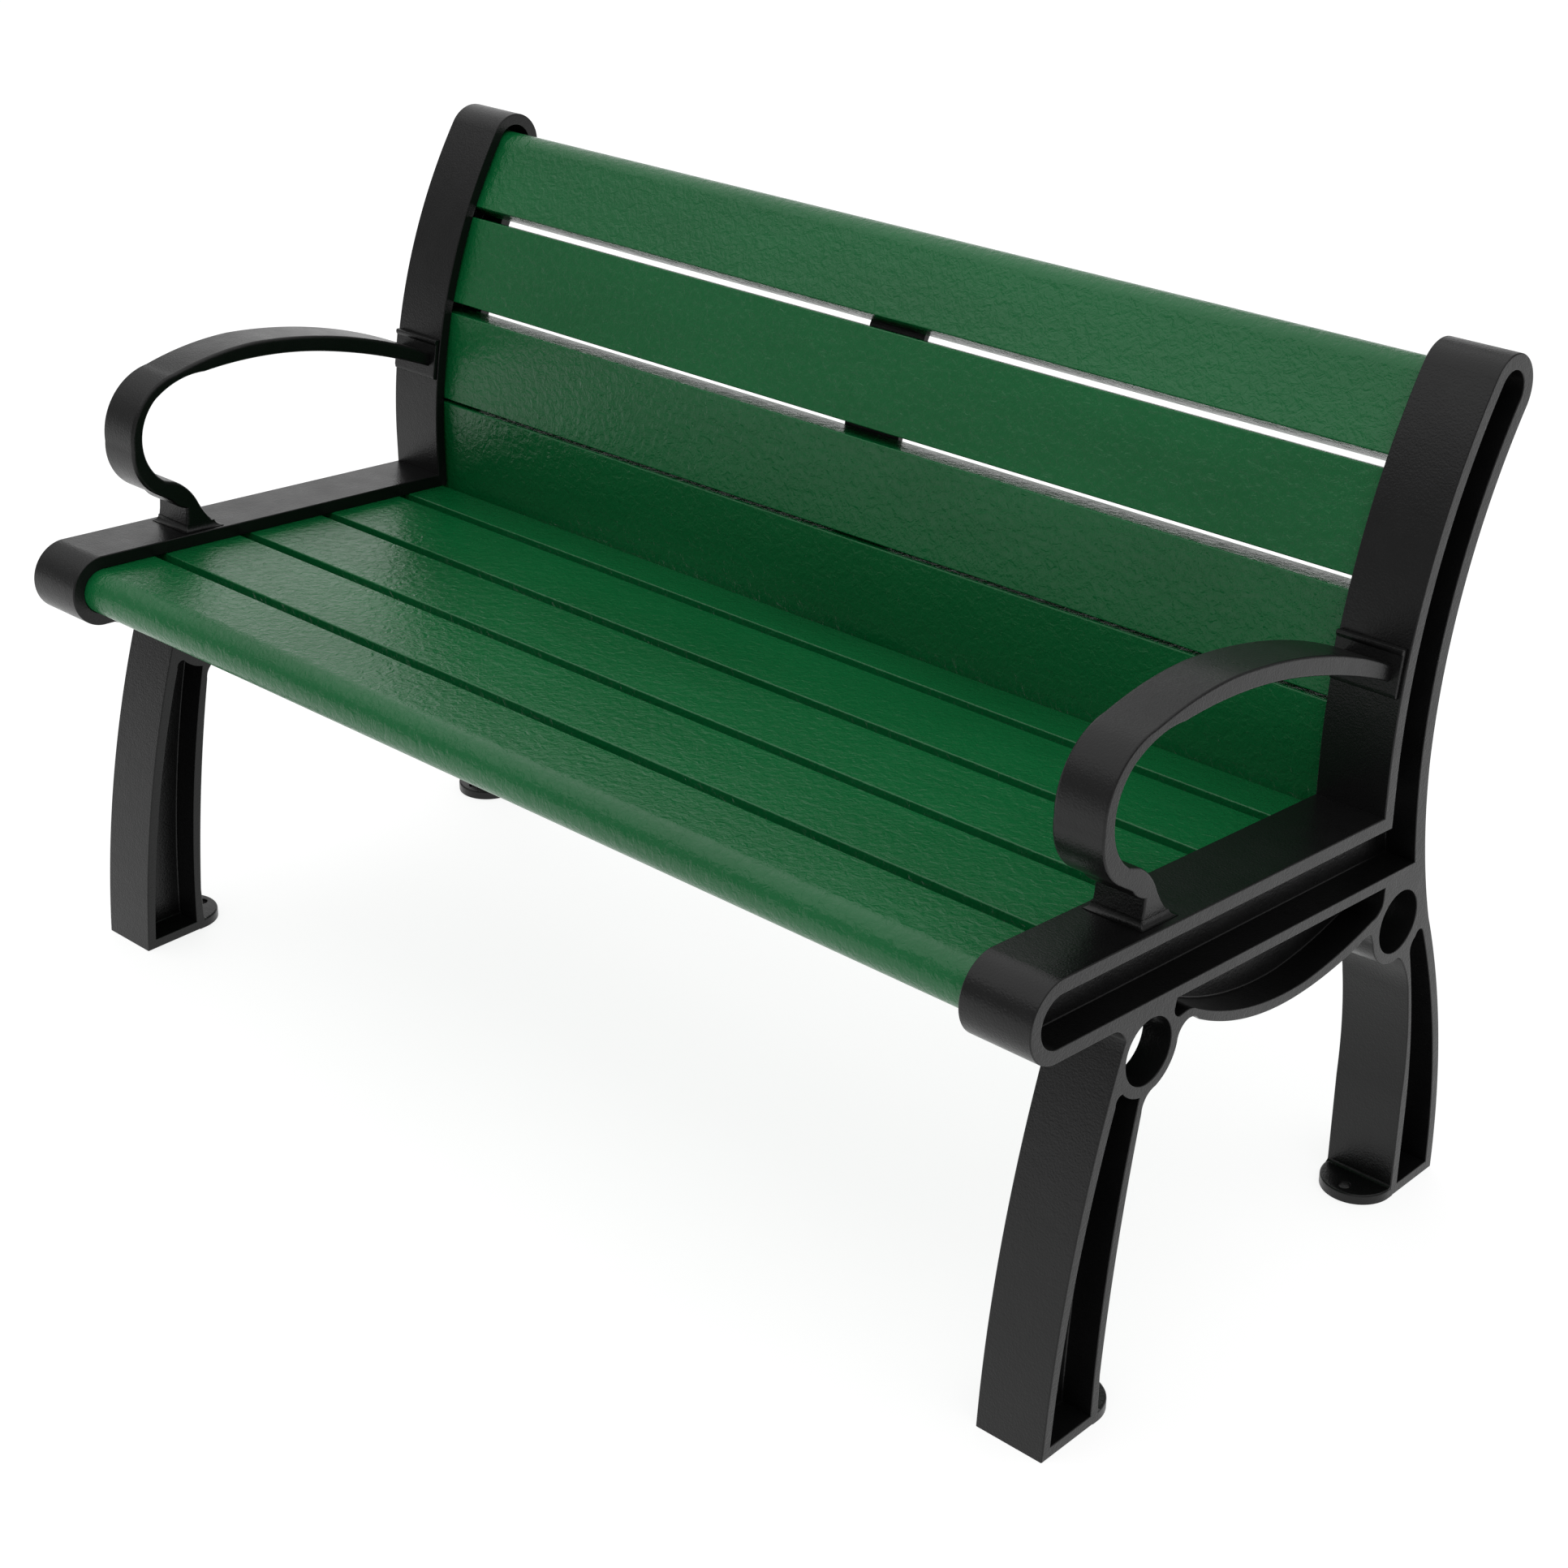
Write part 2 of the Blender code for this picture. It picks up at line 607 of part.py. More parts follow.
def arm_bolts():
    """One bolt through the rail's top rim and one through the post's front rim, for each armrest."""
    base, outward, _ = arm_pad_place()
    post_rim = OUTER_POST_RIMS[0]
    front_spot = (FRONT_BOLT_Y, rail_line(RAIL_TOP - RAIL_TOP_RIM, FRONT_BOLT_Y))
    rear_spot = base - outward * (post_rim + FIT)
    found = []
    for side, x in (("left", -1), ("right", 1)):
        x_bolt = x * (FRAME_X + BOLT_INSET)
        pieces = (f"end_frame_{side}", f"armrest_{side}")
        front = Fastener(f"arm_bolt_front_{side}", (x_bolt, *front_spot), (0, SEAT_SLOPE, 1),
                         RAIL_TOP_RIM, FRONT_BOLT_REACH)
        rear = Fastener(f"arm_bolt_rear_{side}", (x_bolt, *rear_spot), (0, *outward),
                        post_rim, REAR_BOLT_REACH)
        found += [(front, pieces), (rear, pieces)]
    return found


def clear_scene():
    for obj in list(bpy.data.objects):
        bpy.data.objects.remove(obj, do_unlink=True)


def build_end_frame(name, x, root):
    inner = -1 if x > 0 else 1
    frame = add_object(name, frame_casting(inner), BLACK_IRON, root)
    frame.location.x = x * MM
    for middle, direction, label in ((FRONT_PAD_Y, 1, "front"), (REAR_PAD_Y, -1, "rear")):
        pad = add_cutter(f"{name}_{label}_pad_shape", foot_pad(middle, direction), frame)
        boolean(frame, pad, "UNION")
    bm = bmesh.new()
    for middle, direction in ((FRONT_PAD_Y, 1), (REAR_PAD_Y, -1)):
        y = middle + direction * PAD_HOLE_OFFSET
        cylinder(bm, PAD_HOLE_RADIUS, (0, y, -1), (0, y, PAD_THICKNESS + 1), 20)
    reach, width, depth = (size * MM for size in HUB_SLOT)
    for hub in (FRONT_HUB, REAR_HUB):
        turn = Matrix.Rotation(math.radians(HUB_SLOT_ANGLE), 4, "X")
        place = Matrix.Translation(Vector((0, *hub)) * MM) @ turn @ Matrix.Translation((0, reach / 2, 0))
        size = Matrix.Diagonal((depth, reach, width, 1))
        bmesh.ops.create_cube(bm, size=1, matrix=place @ size)
    boolean(frame, add_cutter(f"{name}_hole_shape", bm, frame), "DIFFERENCE")
    return frame


def build_armrest(name, x, root):
    arm = add_object(name, extruded(armrest_outline(), -ARM_WIDTH / 2, ARM_WIDTH / 2), BLACK_IRON, root)
    arm.location.x = x * MM
    boolean(arm, add_cutter(f"{name}_pad_shape", arm_pad(), arm), "UNION")
    boolean(arm, add_cutter(f"{name}_foot_shape", arm_foot(), arm), "UNION")
    return arm


def drill(pieces, screws, root):
    """One cutter for each piece, holding the holes of all the screws that pass through it."""
    for name, obj in pieces.items():
        bm = bmesh.new()
        for screw, passed in screws:
            if name in passed:
                screw.cut_hole(bm)
        boolean(obj, add_cutter(f"{name}_screw_holes", bm, root), "DIFFERENCE")


def main():
    clear_scene()
    root = bpy.data.objects.new("bench", None)
    bpy.context.scene.collection.objects.link(root)
    root.location.y = -PROFILE_SHIFT * MM
    seat, back = seat_boards(), back_boards()
    pieces = {}
    for board in seat + back:
        section = extruded(board.section(), -SLAT_LENGTH / 2, SLAT_LENGTH / 2)
        pieces[board.name] = add_object(board.name, section, GREEN_BOARD, root)
    strap = extruded(strap_outline(seat, back), -STRAP_WIDTH / 2, STRAP_WIDTH / 2)
    pieces["centre_strap"] = add_object("centre_strap", strap, BLACK_IRON, root)
    for side, x in (("left", -1), ("right", 1)):
        pieces[f"end_frame_{side}"] = build_end_frame(f"end_frame_{side}", x * FRAME_X, root)
        pieces[f"armrest_{side}"] = build_armrest(f"armrest_{side}", x * ARM_X, root)
    screws = seat_screws(seat) + back_screws(back) + arm_bolts()
    drill(pieces, screws, root)
    for screw, _ in screws:
        add_object(screw.name, screw.solid(), STEEL, root)


main()
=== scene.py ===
import math

import bmesh
import bpy
from mathutils import Matrix, Quaternion, Vector


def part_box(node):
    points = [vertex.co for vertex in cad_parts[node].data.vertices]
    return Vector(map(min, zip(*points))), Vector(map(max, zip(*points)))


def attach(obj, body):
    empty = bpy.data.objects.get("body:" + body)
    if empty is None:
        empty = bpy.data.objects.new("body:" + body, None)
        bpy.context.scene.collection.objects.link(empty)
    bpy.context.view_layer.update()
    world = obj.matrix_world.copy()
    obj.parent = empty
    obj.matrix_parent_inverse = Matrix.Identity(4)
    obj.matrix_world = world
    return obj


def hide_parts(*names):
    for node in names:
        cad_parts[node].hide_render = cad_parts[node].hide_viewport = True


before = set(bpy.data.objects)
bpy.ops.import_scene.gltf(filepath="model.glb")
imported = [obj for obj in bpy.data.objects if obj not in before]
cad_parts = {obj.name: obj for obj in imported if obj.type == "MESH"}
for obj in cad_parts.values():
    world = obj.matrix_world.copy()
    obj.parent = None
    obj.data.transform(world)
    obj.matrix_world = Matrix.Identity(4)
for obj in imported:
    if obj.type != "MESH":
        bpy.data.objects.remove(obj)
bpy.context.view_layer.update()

MM = 0.001
SHIFT = 264.35  # the side profiles are (y, z) in mm from the front lower corner of the front leg
FINE = 3  # how many times more points the curves have than in the CAD
FIT = 0.3  # gap between touching pieces

# ---------------------------------------------------------------- side profile of an end frame
HALF = 33.0  # half the casting's thickness along X
WEB = 4.5  # half the web's thickness
FRAME_X = 0.577
SLOPE = math.tan(math.radians(4.0))  # the seat falls towards the back
NOSE = (-5.0, 397.1)
NOSE_RADIUS = 34.6
RAIL_TOP = 431.7  # at the nose's centre
RAIL_TOP_RIM = 12.7
RAIL_RECESS_RADIUS = 22.05
BELLY_TOP = 364.6
LEG_RIM = 10
LEG_FACES = (70.0, 490.0)  # the faces of the front and rear leg that the foot pads stand against
POST = (965.0, 430.0)
POST_FRONT = 552.6
POST_REAR = 490.2
POST_SWEEP = 34.85
INNER_RIMS = (10.6, 12.3)  # front and rear rim of the post, on the side that holds the slats
OUTER_RIMS = (12.9, 14.5)
FRONT_HUB = (105.5, 322.5)
REAR_HUB = (451.5, 292.5)
HUB_RADIUS = 37.6
BORE_RADIUS = 28.0
LIP = 0.8  # rounding of the edges of bores and recesses
HUB_SLOT = (13.2, 46.0, 32.0)  # size along X, reach from the hub's centre, and width
HUB_SLOT_ANGLE = -37.0
PAD_MIDDLES = (70.0, 488.0)
PAD_THICKNESS = 9.6
PAD_HOLE_OFFSET = 21.0
PAD_HOLE_RADIUS = 5.5


def rail_line(height, y):
    return height - SLOPE * (y - NOSE[0])


def polar(centre, radius, degrees):
    angle = math.radians(degrees)
    return (centre[0] + radius * math.cos(angle), centre[1] + radius * math.sin(angle))


def arc(centre, radius, start, end, steps):
    steps *= FINE
    return [polar(centre, radius, start + (end - start) * i / steps) for i in range(steps + 1)]


def arc_through(first, middle, last, steps):
    (ax, ay), (bx, by), (cx, cy) = first, middle, last
    d = 2 * (ax * (by - cy) + bx * (cy - ay) + cx * (ay - by))
    a2, b2, c2 = ax * ax + ay * ay, bx * bx + by * by, cx * cx + cy * cy
    centre = (
        (a2 * (by - cy) + b2 * (cy - ay) + c2 * (ay - by)) / d,
        (a2 * (cx - bx) + b2 * (ax - cx) + c2 * (bx - ax)) / d,
    )
    start = math.degrees(math.atan2(ay - centre[1], ax - centre[0]))
    end = math.degrees(math.atan2(cy - centre[1], cx - centre[0]))
    turn = 1 if (bx - ax) * (cy - ay) - (by - ay) * (cx - ax) > 0 else -1
    sweep = ((end - start) * turn) % 360 * turn
    return arc(centre, math.dist(centre, first), start, start + sweep, steps)


def join_runs(*runs):
    outline = []
    for run in runs:
        for point in run:
            if not outline or math.dist(point, outline[-1]) > 0.15:
                outline.append(tuple(point))
    if math.dist(outline[0], outline[-1]) < 0.15:
        outline.pop()
    return outline


def split_long(outline, longest=25.0):
    """Extra points along long straight edges."""
    result = []
    for a, b in zip(outline, outline[1:] + outline[:1]):
        pieces = max(1, math.ceil(math.dist(a, b) / longest))
        result += [tuple(Vector(a).lerp(Vector(b), i / pieces)) for i in range(pieces)]
    return result


def frame_outline():
    """Outer edge of an end frame, anticlockwise seen from +X."""
    rail_bottom = RAIL_TOP - 2 * NOSE_RADIUS
    cap_radius = (POST_FRONT - POST_REAR) / 2
    cap = polar(POST, POST_REAR + cap_radius, 180 - POST_SWEEP)
    post_front = POST[0] - POST_FRONT
    post_rear = POST[0] - POST_REAR
    return join_runs(
        [(0, 0), (70, 0)],
        arc_through((70, 45), (85, 175), (102, 270), 6),
        arc_through((102, 270), (106, 281), polar(FRONT_HUB, HUB_RADIUS, -72), 3),
        arc(FRONT_HUB, HUB_RADIUS, -72, -12, 7),
        arc_through(polar(FRONT_HUB, HUB_RADIUS, -12), (147, 325), (155, 329), 4),
        arc_through((155, 329), (163, 327.5), (170, 322), 4),
        arc_through((170, 322), (230, 296), (310, 284.5), 14),
        arc_through((310, 284.5), (352, 287), (392, 294), 7),
        arc_through((392, 294), (401, 297), (409, 297.5), 3),
        arc_through((409, 297.5), (412, 292), polar(REAR_HUB, HUB_RADIUS, 190), 2),
        arc(REAR_HUB, HUB_RADIUS, 190, 280, 10),
        arc_through((462, 253), (475, 232), (482, 208), 4),
        arc_through((482, 208), (488, 170), (490, 100), 6),
        [(490, 0)],
        arc_through((557, 0), (546, 130), (502, 277), 14),
        arc_through((502, 277), (484, 344), (post_rear, 430), 8),
        arc(POST, POST_REAR, 180, 180 - POST_SWEEP, 12),
        arc(cap, cap_radius, -POST_SWEEP, 180 - POST_SWEEP, 12),
        arc(POST, POST_FRONT, 180 - POST_SWEEP, 180, 12),
        [(post_front, rail_line(RAIL_TOP, post_front))],
        arc(NOSE, NOSE_RADIUS, 90, 270, 14),
        arc_through((56, rail_line(rail_bottom, 56)), (69.5, 353.5), (75, 344), 4),
        arc_through((75, 344), (24.2, 172.5), (0, 0), 12),
    )


def rail_recess(post_rims):
    """The recess that runs along the seat rail and up the back post, between these rims of the post."""
    height, top = RAIL_RECESS_RADIUS, RAIL_TOP - RAIL_TOP_RIM
    front = POST_FRONT - post_rims[0]
    rear = POST_REAR + post_rims[1]
    cap = polar(POST, (front + rear) / 2, 180 - POST_SWEEP)
    front_y, rear_y = POST[0] - front, POST[0] - rear
    return join_runs(
        arc((NOSE[0], top - height), height, 90, 270, 12),
        arc_through((468, rail_line(top - 2 * height, 468)), (rear_y + 2, 388), (rear_y, 430), 6),
        arc(POST, rear, 180, 180 - POST_SWEEP, 12),
        arc(cap, (front - rear) / 2, -POST_SWEEP, 180 - POST_SWEEP, 10),
        arc(POST, front, 180 - POST_SWEEP, 180, 12),
        [(front_y, rail_line(top, front_y))],
    )


def belly_recess():
    """The recess under the rail, between the two hubs."""
    return join_runs(
        [(138, rail_line(BELLY_TOP, 138))],
        arc_through((136, 347), (137.5, 340), (143, 337), 3),
        arc_through((152, 338), (158, 337.3), (165, 334), 2),
        arc_through((165, 334), (230, 306), (315, 294), 11),
        arc_through((315, 294), (365, 299.5), (410, 310), 6),
        arc_through((410, 310), (418.5, 313), (424.5, 323), 3),
        [(425, rail_line(BELLY_TOP, 425))],
    )


def front_leg_recess():
    return join_runs(
        [(LEG_RIM, LEG_RIM)],
        arc_through((60.5, LEG_RIM), (72, 150), polar(FRONT_HUB, 38, -102), 9),
        arc(FRONT_HUB, 38, -102, -141, 4),
        arc_through(polar(FRONT_HUB, 38, -141), (71.5, 298), (68, 291), 3),
        arc_through((68, 291), (31.5, 158), (LEG_RIM, LEG_RIM), 9),
    )


def rear_leg_recess():
    return join_runs(
        [(500, LEG_RIM)],
        arc_through((547, LEG_RIM), (535, 134), (494.5, 266.5), 12),
        arc_through((494.5, 266.5), (489, 270.5), (483, 266), 2),
        arc_through((483, 266), (477.6, 260), (477, 252), 2),
        arc_through((477, 252), (493, 176), (500, 90), 9),
    )


# ---------------------------------------------------------------- mesh helpers
def offset(outline, distance):
    """The outline moved inwards (it runs anticlockwise), or outwards if distance is negative."""
    moved = []
    count = len(outline)
    for i in range(count):
        a, b, c = (Vector(outline[(i + k) % count]) for k in (-1, 0, 1))
        d1, d2 = (b - a).normalized(), (c - b).normalized()
        n1, n2 = Vector((-d1.y, d1.x)), Vector((-d2.y, d2.x))
        miter = (n1 + n2) / max(1 + n1.dot(n2), 0.35)
        moved.append(tuple(b + miter * distance))
    return moved


def anticlockwise(outline):
    area = sum(a[0] * b[1] - b[0] * a[1] for a, b in zip(outline, outline[1:] + outline[:1]))
    return outline if area > 0 else outline[::-1]


def ring(bm, outline, x):
    return [bm.verts.new((x * MM, y * MM, z * MM)) for y, z in outline]


def loft(bm, rings):
    for first, second in zip(rings, rings[1:]):
        for i in range(len(first)):
            bm.faces.new((first[i - 1], first[i], second[i], second[i - 1]))


def loop_edges(bm, verts):
    edges = []
    for i in range(len(verts)):
        edge = bm.edges.get((verts[i - 1], verts[i]))
        edges.append(edge or bm.edges.new((verts[i - 1], verts[i])))
    return edges


def fill(bm, loops, normal=(1, 0, 0)):
    edges = [edge for verts in loops for edge in loop_edges(bm, verts)]
    return bmesh.ops.triangle_fill(bm, use_beauty=True, edges=edges, normal=normal)["geom"]


def lies_inside(point, outline):
    inside = False
    for (ay, az), (by, bz) in zip(outline, outline[1:] + outline[:1]):
        if (az > point[1]) != (bz > point[1]):
            inside ^= point[0] < ay + (by - ay) * (point[1] - az) / (bz - az)
    return inside


def rounding(radius, steps=5):
    """(inset, drop) pairs of a quarter round from the flat face over to the side wall."""
    turns = [math.pi / 2 * i / steps for i in range(steps + 1)]
    return [(radius * (1 - math.sin(t)), radius * (1 - math.cos(t))) for t in turns]


def prism(bm, outline, half, radii, steps=5):
    """A solid of constant profile along X, its edges rounded by these radii on the -X and +X sides."""
    outline = anticlockwise(outline)
    stations = [(d, -half + drop) for d, drop in rounding(radii[0], steps)]
    stations += [(d, half - drop) for d, drop in reversed(rounding(radii[1], steps))]
    rings = [ring(bm, offset(outline, d), x) for d, x in stations]
    loft(bm, rings)
    fill(bm, [rings[0]])
    fill(bm, [rings[-1]])


def mesh_object(name, bm, material, sharp=40.0):
    bmesh.ops.recalc_face_normals(bm, faces=bm.faces)
    mesh = bpy.data.meshes.new(name)
    bm.to_mesh(mesh)
    bm.free()
    mesh.shade_smooth()
    mesh.set_sharp_from_angle(angle=math.radians(sharp))
    mesh.materials.append(material)
    obj = bpy.data.objects.new(name, mesh)
    bpy.context.scene.collection.objects.link(obj)
    weighted = obj.modifiers.new("weighted_normals", "WEIGHTED_NORMAL")
    weighted.keep_sharp = True
    return obj


def install(obj, node):
    obj.location.y -= SHIFT * MM
    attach(obj, "root")
    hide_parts(node)


# ---------------------------------------------------------------- materials
def node_material(name):
    material = bpy.data.materials.new(name)
    material.use_nodes = True
    nodes, links = material.node_tree.nodes, material.node_tree.links
    return material, nodes, links, nodes["Principled BSDF"]


def noise(nodes, links, coords, scale, detail=3.0, rough=0.5, distortion=0.0):
    node = nodes.new("ShaderNodeTexNoise")
    node.inputs["Scale"].default_value = scale
    node.inputs["Detail"].default_value = detail
    node.inputs["Roughness"].default_value = rough
    node.inputs["Distortion"].default_value = distortion
    links.new(coords, node.inputs["Vector"])
    return node.outputs["Fac"]


def ramp(nodes, links, value, stops):
    node = nodes.new("ShaderNodeValToRGB")
    elements = node.color_ramp.elements
    for element, (position, colour) in zip(elements, stops):
        element.position = position
        element.color = (*colour, 1)
    links.new(value, node.inputs["Fac"])
    return node.outputs["Color"]


def spread(nodes, links, value, low, high):
    node = nodes.new("ShaderNodeMapRange")
    node.inputs["From Min"].default_value = 0.3
    node.inputs["From Max"].default_value = 0.7
    node.inputs["To Min"].default_value = low
    node.inputs["To Max"].default_value = high
    links.new(value, node.inputs["Value"])
    return node.outputs["Result"]


def bump(nodes, links, height, distance, strength, under=None):
    node = nodes.new("ShaderNodeBump")
    node.inputs["Distance"].default_value = distance
    node.inputs["Strength"].default_value = strength
    links.new(height, node.inputs["Height"])
    if under:
        links.new(under, node.inputs["Normal"])
    return node.outputs["Normal"]


def stretched(nodes, links, scale):
    coords = nodes.new("ShaderNodeTexCoord")
    mapping = nodes.new("ShaderNodeMapping")
    mapping.inputs["Scale"].default_value = scale
    links.new(coords.outputs["Object"], mapping.inputs["Vector"])
    return mapping.outputs["Vector"]


def powder_coat():
    """Satin black powder coat over cast iron: fine orange peel, with faint clouding of the gloss."""
    material, nodes, links, shader = node_material("black_powder_coat")
    shader.inputs["Specular IOR Level"].default_value = 0.31
    coords = stretched(nodes, links, (1, 1, 1))
    cloud = noise(nodes, links, coords, 14, 3)
    colour = ramp(nodes, links, cloud, [(0.3, (0.0032, 0.0032, 0.0033)), (0.7, (0.0048, 0.0048, 0.0049))])
    links.new(colour, shader.inputs["Base Color"])
    roughness = spread(nodes, links, noise(nodes, links, coords, 40, 4), 0.27, 0.34)
    links.new(roughness, shader.inputs["Roughness"])
    cast = bump(nodes, links, noise(nodes, links, coords, 120, 2), 0.0006, 0.25)
    peel = bump(nodes, links, noise(nodes, links, coords, 560, 3), 0.0005, 0.6, cast)
    links.new(peel, shader.inputs["Normal"])
    return material


def board_green():
    """Green recycled-plastic lumber: a wrinkled, semi-gloss skin over flowing grain."""
    material, nodes, links, shader = node_material("green_plastic_lumber")
    shader.inputs["Specular IOR Level"].default_value = 0.37
    coords = stretched(nodes, links, (1, 1, 1))
    along = stretched(nodes, links, (0.35, 1, 1))
    tone = noise(nodes, links, along, 9, 4)
    colour = ramp(nodes, links, tone, [(0.3, (0.0014, 0.095, 0.024)), (0.7, (0.003, 0.12, 0.032))])
    links.new(colour, shader.inputs["Base Color"])
    roughness = spread(nodes, links, noise(nodes, links, coords, 60, 3), 0.21, 0.29)
    links.new(roughness, shader.inputs["Roughness"])
    waves = bump(nodes, links, noise(nodes, links, along, 30, 2, 0.5, 0.4), 0.004, 0.12)
    wrinkle = bump(nodes, links, noise(nodes, links, coords, 130, 3, 0.6, 0.6), 0.0022, 0.6, waves)
    grain = bump(nodes, links, noise(nodes, links, coords, 520, 3), 0.0004, 0.4, wrinkle)
    links.new(grain, shader.inputs["Normal"])
    return material


def zinc():
    """Zinc plating: bare metal with a fine, uneven spangle."""
    material, nodes, links, shader = node_material("zinc_plated_steel")
    shader.inputs["Metallic"].default_value = 1.0
    coords = stretched(nodes, links, (1, 1, 1))
    spangle = noise(nodes, links, coords, 120, 3)
    colour = ramp(nodes, links, spangle, [(0.3, (0.30, 0.31, 0.32)), (0.7, (0.42, 0.42, 0.41))])
    links.new(colour, shader.inputs["Base Color"])
    roughness = spread(nodes, links, noise(nodes, links, coords, 300, 3), 0.28, 0.45)
    links.new(roughness, shader.inputs["Roughness"])
    grain = bump(nodes, links, noise(nodes, links, coords, 900, 2), 0.0001, 0.3)
    links.new(grain, shader.inputs["Normal"])
    return material


BLACK = powder_coat()
GREEN = board_green()
ZINC = zinc()


# ---------------------------------------------------------------- end frames
def casting(bm, inner):
    """I-section casting with rounded outer edges, lipped recesses and a fillet where rims meet the web."""
    outer = split_long(frame_outline())
    bores = [arc(hub, BORE_RADIUS, 0, 355, 24) for hub in (FRONT_HUB, REAR_HUB)]
    over = rounding(1.2)
    lip = rounding(LIP, 4)
    stations = [(d, -HALF + drop) for d, drop in over] + [(d, HALF - drop) for d, drop in reversed(over)]
    outer_rings = [ring(bm, offset(outer, d), x) for d, x in stations]
    loft(bm, outer_rings)
    mouths = {-1: [outer_rings[0]], 1: [outer_rings[-1]]}
    for bore in bores:
        stations = [(-d, -HALF + drop) for d, drop in lip] + [(-d, HALF - drop) for d, drop in reversed(lip)]
        rings = [ring(bm, offset(bore, d), x) for d, x in stations]
        loft(bm, rings)
        mouths[-1].append(rings[0])
        mouths[1].append(rings[-1])
    fillet = [(1.5 * (1 - math.cos(t)), WEB + 1.5 * (1 - math.sin(t)))
              for t in (math.pi / 2 * i / 4 for i in range(5))]
    for side, loops in mouths.items():
        post_rims = INNER_RIMS if side == inner else OUTER_RIMS
        shapes = [rail_recess(post_rims), belly_recess(), front_leg_recess(), rear_leg_recess()]
        recesses = [split_long(anticlockwise(shape)) for shape in shapes]
        for recess in recesses:
            stations = [(-d, HALF - drop) for d, drop in lip] + fillet
            rings = [ring(bm, offset(recess, d), side * x) for d, x in stations]
            loft(bm, rings)
            loops.append(rings[0])
            fill(bm, [rings[-1]])
        found = fill(bm, loops)
        holes = [offset(r, -LIP) for r in recesses + bores]
        wrong = []
        for face in (f for f in found if isinstance(f, bmesh.types.BMFace)):
            centre = face.calc_center_median() / MM
            if any(lies_inside((centre.y, centre.z), hole) for hole in holes):
                wrong.append(face)
        bmesh.ops.delete(bm, geom=wrong, context="FACES_ONLY")


def cut(obj, cutter_bm):
    """Take the cutter's shape out of obj for good."""
    bmesh.ops.recalc_face_normals(cutter_bm, faces=cutter_bm.faces)
    mesh = bpy.data.meshes.new("cutter")
    cutter_bm.to_mesh(mesh)
    cutter_bm.free()
    cutter = bpy.data.objects.new("cutter", mesh)
    bpy.context.scene.collection.objects.link(cutter)
    modifier = obj.modifiers.new("cut", "BOOLEAN")
    modifier.object = cutter
    modifier.solver = "EXACT"
    bpy.context.view_layer.update()
    graph = bpy.context.evaluated_depsgraph_get()
    result = bpy.data.meshes.new_from_object(obj.evaluated_get(graph))
    obj.modifiers.remove(modifier)
    bpy.data.objects.remove(cutter)
    obj.data = result


def hub_slots():
    """The slot that opens each bore through one side of its hub, in the middle of the casting's thickness."""
    bm = bmesh.new()
    size = Vector(HUB_SLOT) * MM
    turn = Matrix.Rotation(math.radians(HUB_SLOT_ANGLE), 4, "X")
    reach = Matrix.Translation((0, size.y / 2, 0))
    for hub in (FRONT_HUB, REAR_HUB):
        place = Matrix.Translation(Vector((0, *hub)) * MM) @ turn @ reach
        bmesh.ops.create_cube(bm, size=1, matrix=place @ Matrix.Diagonal((*size, 1)))
    return bm


def foot_pad(bm, middle, direction):
    """Half-round anchor plate with a rounded edge, a bolt hole and a small fillet against the leg."""
    turn = 0 if direction > 0 else 180
    inset = middle - direction * 6
    edge = [polar((0, middle), HALF - 0.1, turn + 180 * i / 40) for i in range(41)]
    outline = anticlockwise(edge + [(edge[-1][0], inset), (edge[0][0], inset)])
    bolt = (0, middle + direction * PAD_HOLE_OFFSET)
    hole = [polar(bolt, PAD_HOLE_RADIUS, 360 * i / 28) for i in range(28)]
    rings = [[bm.verts.new((x * MM, y * MM, (PAD_THICKNESS - drop) * MM)) for x, y in offset(outline, d)]
             for d, drop in rounding(2.0)]
    rings.append([bm.verts.new((x * MM, y * MM, 0.0)) for x, y in outline])
    loft(bm, rings)
    wall = [[bm.verts.new((x * MM, y * MM, z * MM)) for x, y in offset(hole, -d)]
            for d, z in ((0.8, PAD_THICKNESS), (0.2, PAD_THICKNESS - 0.3), (0, PAD_THICKNESS - 0.8), (0, 0))]
    loft(bm, wall)
    fill(bm, [rings[0], wall[0]], (0, 0, 1))
    fill(bm, [rings[-1], wall[-1]], (0, 0, 1))
    face = LEG_FACES[0] if direction > 0 else LEG_FACES[1]
    radius = 3
    turns = [math.pi / 2 * i / 5 for i in range(6)]
    curve = [(face + direction * radius * (1 - math.sin(t)), PAD_THICKNESS + radius * (1 - math.cos(t)))
             for t in turns]
    behind, sunk = face - direction * 2, PAD_THICKNESS - 1
    bead = anticlockwise(curve + [(behind, PAD_THICKNESS + radius), (behind, sunk),
                                  (face + direction * radius, sunk)])
    rings = [ring(bm, bead, x) for x in (-HALF + 0.6, HALF - 0.6)]
    loft(bm, rings)
    fill(bm, [rings[0]])
    fill(bm, [rings[1]])


def end_frame(side, x):
    name = f"end_frame_{side}"
    bm = bmesh.new()
    casting(bm, -1 if x > 0 else 1)
    obj = mesh_object(f"{name}_casting", bm, BLACK)
    weighted = obj.modifiers["weighted_normals"]
    obj.modifiers.remove(weighted)
    cut(obj, hub_slots())
    bm = bmesh.new()
    bm.from_mesh(obj.data)
    foot_pad(bm, PAD_MIDDLES[0], 1)
    foot_pad(bm, PAD_MIDDLES[1], -1)
    bpy.data.objects.remove(obj)
    obj = mesh_object(f"{name}_casting", bm, BLACK)
    obj.location.x = x
    install(obj, name)


